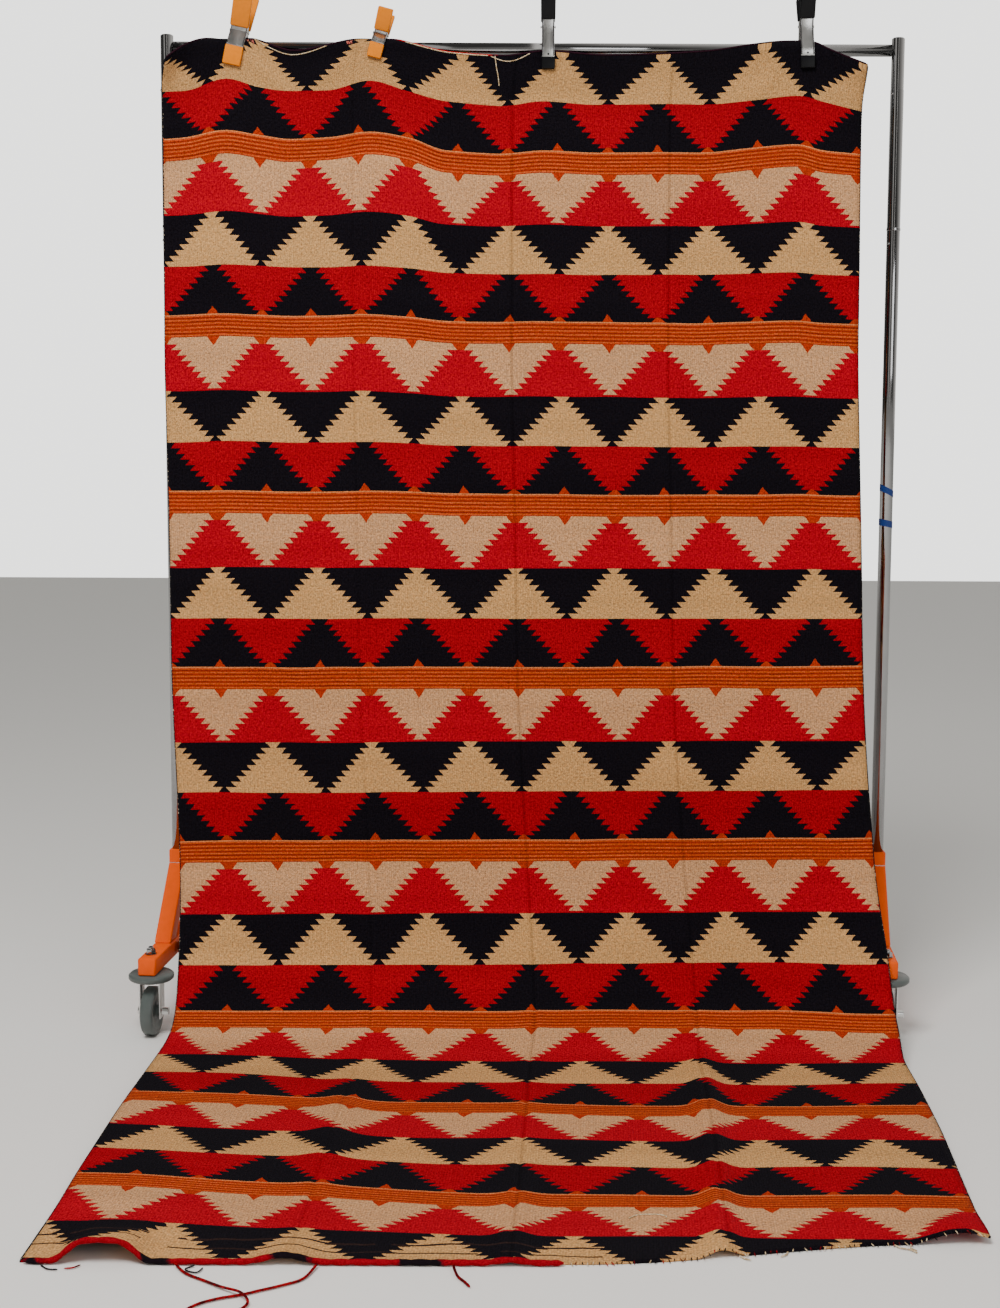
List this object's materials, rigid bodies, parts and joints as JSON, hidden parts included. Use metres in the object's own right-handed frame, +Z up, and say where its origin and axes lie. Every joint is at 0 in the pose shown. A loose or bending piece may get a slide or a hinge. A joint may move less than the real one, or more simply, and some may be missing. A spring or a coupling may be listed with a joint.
{
  "type": "southwestern rug hung on a rolling garment rack",
  "caption": "Long woven wool rug with serrated rows, clamped along a rolling garment rack's rail and sweeping forward over the floor.",
  "frame": {"origin": "centre of the footprint, on the surface the casters and the cloth's end rest on", "axes": "+Z up; the face of the rug looks along -Y and its end lies towards -Y; X runs along the rail"},
  "size_m": [1.6726, 1.8093, 2.1783],
  "materials": {
    "wool": "matt woven wool in red, black, tan and orange",
    "yarn": "matt plied wool yarn",
    "chrome": "polished plate",
    "powder_coat": "glossy orange powder coat",
    "zinc_steel": "bright zinc plate",
    "wheel_rubber": "matt grey rubber",
    "grip_vinyl": "dipped orange vinyl",
    "grip_rubber": "matt black moulded plastic"
  },
  "bodies": {
    "root": {"rug": "wool", "end_binding": "yarn", "tail_a": "yarn", "tail_b": "yarn", "tail_c": "yarn", "rail": "chrome", "base_bar": "chrome", "post_left": "chrome", "arch_left": "powder_coat", "foot_left": "powder_coat", "bumper_left_front": "wheel_rubber", "fork_left_front": "zinc_steel", "wheel_left_front": "wheel_rubber", "bumper_left_back": "wheel_rubber", "fork_left_back": "zinc_steel", "wheel_left_back": "wheel_rubber", "post_right": "chrome", "arch_right": "powder_coat", "foot_right": "powder_coat", "bumper_right_front": "wheel_rubber", "fork_right_front": "zinc_steel", "wheel_right_front": "wheel_rubber", "bumper_right_back": "wheel_rubber", "fork_right_back": "zinc_steel", "wheel_right_back": "wheel_rubber", "clamp_1_arm_front": "zinc_steel", "clamp_1_grip_front": "grip_vinyl", "clamp_1_tip_front": "grip_vinyl", "clamp_1_arm_back": "zinc_steel", "clamp_1_grip_back": "grip_vinyl", "clamp_1_tip_back": "grip_vinyl", "clamp_1_coil": "zinc_steel", "clamp_2_arm_front": "zinc_steel", "clamp_2_grip_front": "grip_vinyl", "clamp_2_tip_front": "grip_vinyl", "clamp_2_arm_back": "zinc_steel", "clamp_2_grip_back": "grip_vinyl", "clamp_2_tip_back": "grip_vinyl", "clamp_2_coil": "zinc_steel", "clamp_3_arm_front": "zinc_steel", "clamp_3_grip_front": "grip_rubber", "clamp_3_tip_front": "grip_rubber", "clamp_3_arm_back": "zinc_steel", "clamp_3_grip_back": "grip_rubber", "clamp_3_tip_back": "grip_rubber", "clamp_3_coil": "zinc_steel", "clamp_4_arm_front": "zinc_steel", "clamp_4_grip_front": "grip_rubber", "clamp_4_tip_front": "grip_rubber", "clamp_4_arm_back": "zinc_steel", "clamp_4_grip_back": "grip_rubber", "clamp_4_tip_back": "grip_rubber", "clamp_4_coil": "zinc_steel"}
  },
  "joints": []
}
